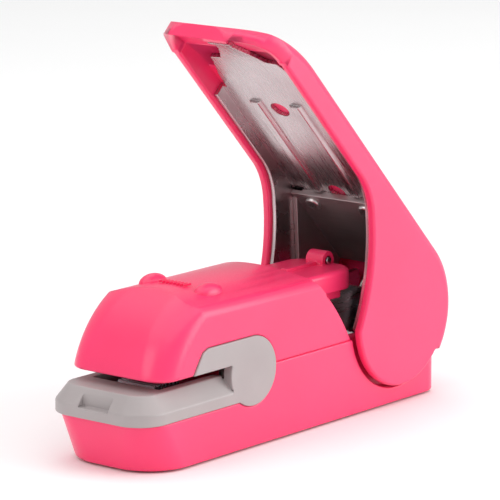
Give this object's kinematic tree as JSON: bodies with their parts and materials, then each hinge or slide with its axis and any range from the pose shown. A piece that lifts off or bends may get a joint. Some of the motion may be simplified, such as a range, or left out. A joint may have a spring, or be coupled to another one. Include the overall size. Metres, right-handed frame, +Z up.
{
  "type": "hand stapler",
  "caption": "Hand-sized stapler of the stapleless crimping kind: pink shells, hinged press lever over a sprung arm, ridged dies in a grey jaw.",
  "frame": {"origin": "centre of the overall box at its bottom, on the desk, with the lever open", "axes": "+X from the nose to the hinge end, +Y across the width, +Z up"},
  "size_m": [0.114, 0.034, 0.0971],
  "materials": {
    "pink_plastic": "satin moulded pink",
    "grey_plastic": "fine satin warm grey",
    "foot_rubber": "black rubber",
    "lever_steel": "bright rolled sheet",
    "bracket_steel": "dull plated sheet",
    "rivet_steel": "plated rivet",
    "frame_steel": "zinc plated sheet",
    "die_steel": "ground and hardened",
    "screw_steel": "zinc plated",
    "axle_steel": "ground pin",
    "spring_steel": "drawn spring wire",
    "nylon": "natural nylon"
  },
  "bodies": {
    "base": {"base_shell": "pink_plastic", "head_cover": "pink_plastic", "jaw_bezel": "grey_plastic", "under_plate": "pink_plastic", "bottom_cover": "grey_plastic", "rubber_feet": "foot_rubber", "frame": "frame_steel", "die_block": "frame_steel", "lower_die": "die_steel", "lower_die_screws": "screw_steel", "cover_screws": "screw_steel", "frame_screws": "screw_steel", "hinge_axle": "axle_steel", "axle_rings": "spring_steel", "hinge_washers": "nylon", "arm_axle": "axle_steel", "arm_bushes": "nylon", "lever_spring": "spring_steel", "arm_spring": "spring_steel", "spring_post": "nylon"},
    "lever": {"lever_shell": "pink_plastic", "lever_channel": "lever_steel", "lever_bracket": "bracket_steel", "lever_rivets": "rivet_steel"},
    "arm": {"press_arm": "frame_steel", "arm_cap": "pink_plastic", "lug_pin": "axle_steel", "upper_die": "die_steel", "die_holder": "frame_steel", "upper_die_screws": "screw_steel"}
  },
  "joints": [
    {"name": "lever_hinge", "type": "hinge", "parent": "base", "child": "lever", "pos_m": [0.0369, 0, 0.02215], "axis": [0, -1, 0], "range_deg": [0, 45], "stiffness_Nm_per_rad": 0.15, "springref_deg": -28.65, "deforming": ["lever_spring"]},
    {"name": "arm_hinge", "type": "hinge", "parent": "base", "child": "arm", "pos_m": [0.0452, 0, 0.015], "axis": [0, -1, 0], "range_deg": [0, 2.8], "stiffness_Nm_per_rad": 2, "springref_deg": -1.15, "deforming": ["arm_spring"]}
  ],
  "couplings": [
    {"joint": "arm_hinge", "follows": "lever_hinge", "ratio": 0.0622}
  ]
}
